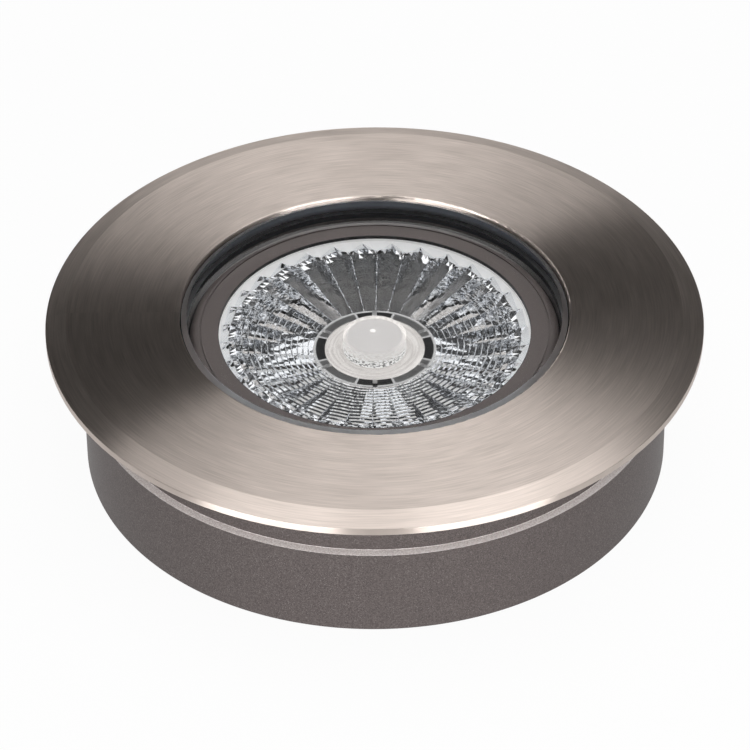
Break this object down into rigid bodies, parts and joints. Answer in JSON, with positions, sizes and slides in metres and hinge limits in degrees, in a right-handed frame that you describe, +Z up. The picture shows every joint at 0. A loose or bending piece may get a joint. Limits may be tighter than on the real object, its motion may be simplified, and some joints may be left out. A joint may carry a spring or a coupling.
{
  "type": "in-ground well light",
  "caption": "Round in-ground well light: brushed steel trim flange, flush cover glass over a faceted lens, and a powder-coated two-part housing with a screwed front.",
  "frame": {"origin": "centre of the flat base, on the light's axis", "axes": "+Z up along the light's axis, from the base to the trim's top face"},
  "size_m": [0.11, 0.11, 0.0275],
  "materials": {
    "trim_steel": "fine concentric brushing",
    "fastener_steel": "plain stainless",
    "clear_glass": "polished faces, ground edge",
    "black_rubber": "smooth silicone",
    "powder_coat": "fine metallic powder coat",
    "bezel_paint": "smooth matt paint",
    "nickel_brass": "nickel-plated",
    "circuit_board": "solder mask",
    "dark_plastic": "moulded",
    "tan_plastic": "moulded",
    "terminal_plastic": "moulded",
    "bare_aluminium": "turned",
    "thermal_pad": "matt",
    "led_board": "matt white",
    "led_phosphor": "silicone with phosphor",
    "lead_insulation": "extruded",
    "frosted_plastic": "frosted, translucent",
    "clear_plastic": "polished, clear"
  },
  "bodies": {
    "rear": {"rear_housing": "powder_coat", "gland_nut": "nickel_brass", "gland_washer": "fastener_steel", "gland_seal": "black_rubber", "driver_board": "circuit_board", "board_screws": "fastener_steel", "driver_inductor": "dark_plastic", "driver_capacitors": "tan_plastic", "driver_chip": "dark_plastic", "rectifier": "dark_plastic", "terminal_block": "terminal_plastic", "heat_spreader": "bare_aluminium", "spreader_screws": "fastener_steel", "thermal_pad": "thermal_pad", "led_board": "led_board", "led_phosphor": "led_phosphor", "led_leads": "lead_insulation", "lens_holder": "dark_plastic", "holder_screws": "fastener_steel", "core_diffuser": "frosted_plastic", "lens": "clear_plastic", "lens_spacer": "dark_plastic", "inner_bezel": "bezel_paint", "bezel_screws": "fastener_steel"},
    "seal": {"housing_seal": "black_rubber"},
    "front": {"trim_ring": "trim_steel", "trim_studs": "fastener_steel", "trim_washers": "fastener_steel", "trim_nuts": "fastener_steel", "cover_glass": "clear_glass", "glass_gasket": "black_rubber", "front_housing": "powder_coat"}
  },
  "joints": [
    {"name": "front_lift", "type": "slide", "parent": "rear", "child": "seal", "axis": [0, 0, 1], "range_m": [0, 0.003]},
    {"name": "front_turn", "type": "hinge", "parent": "seal", "child": "front", "pos_m": [0, 0, 0.0252], "axis": [0, 0, 1], "range_deg": [0, 720]}
  ],
  "couplings": [
    {"joint": "front_lift", "follows": "front_turn", "m_per_rad": 0.00023873}
  ]
}
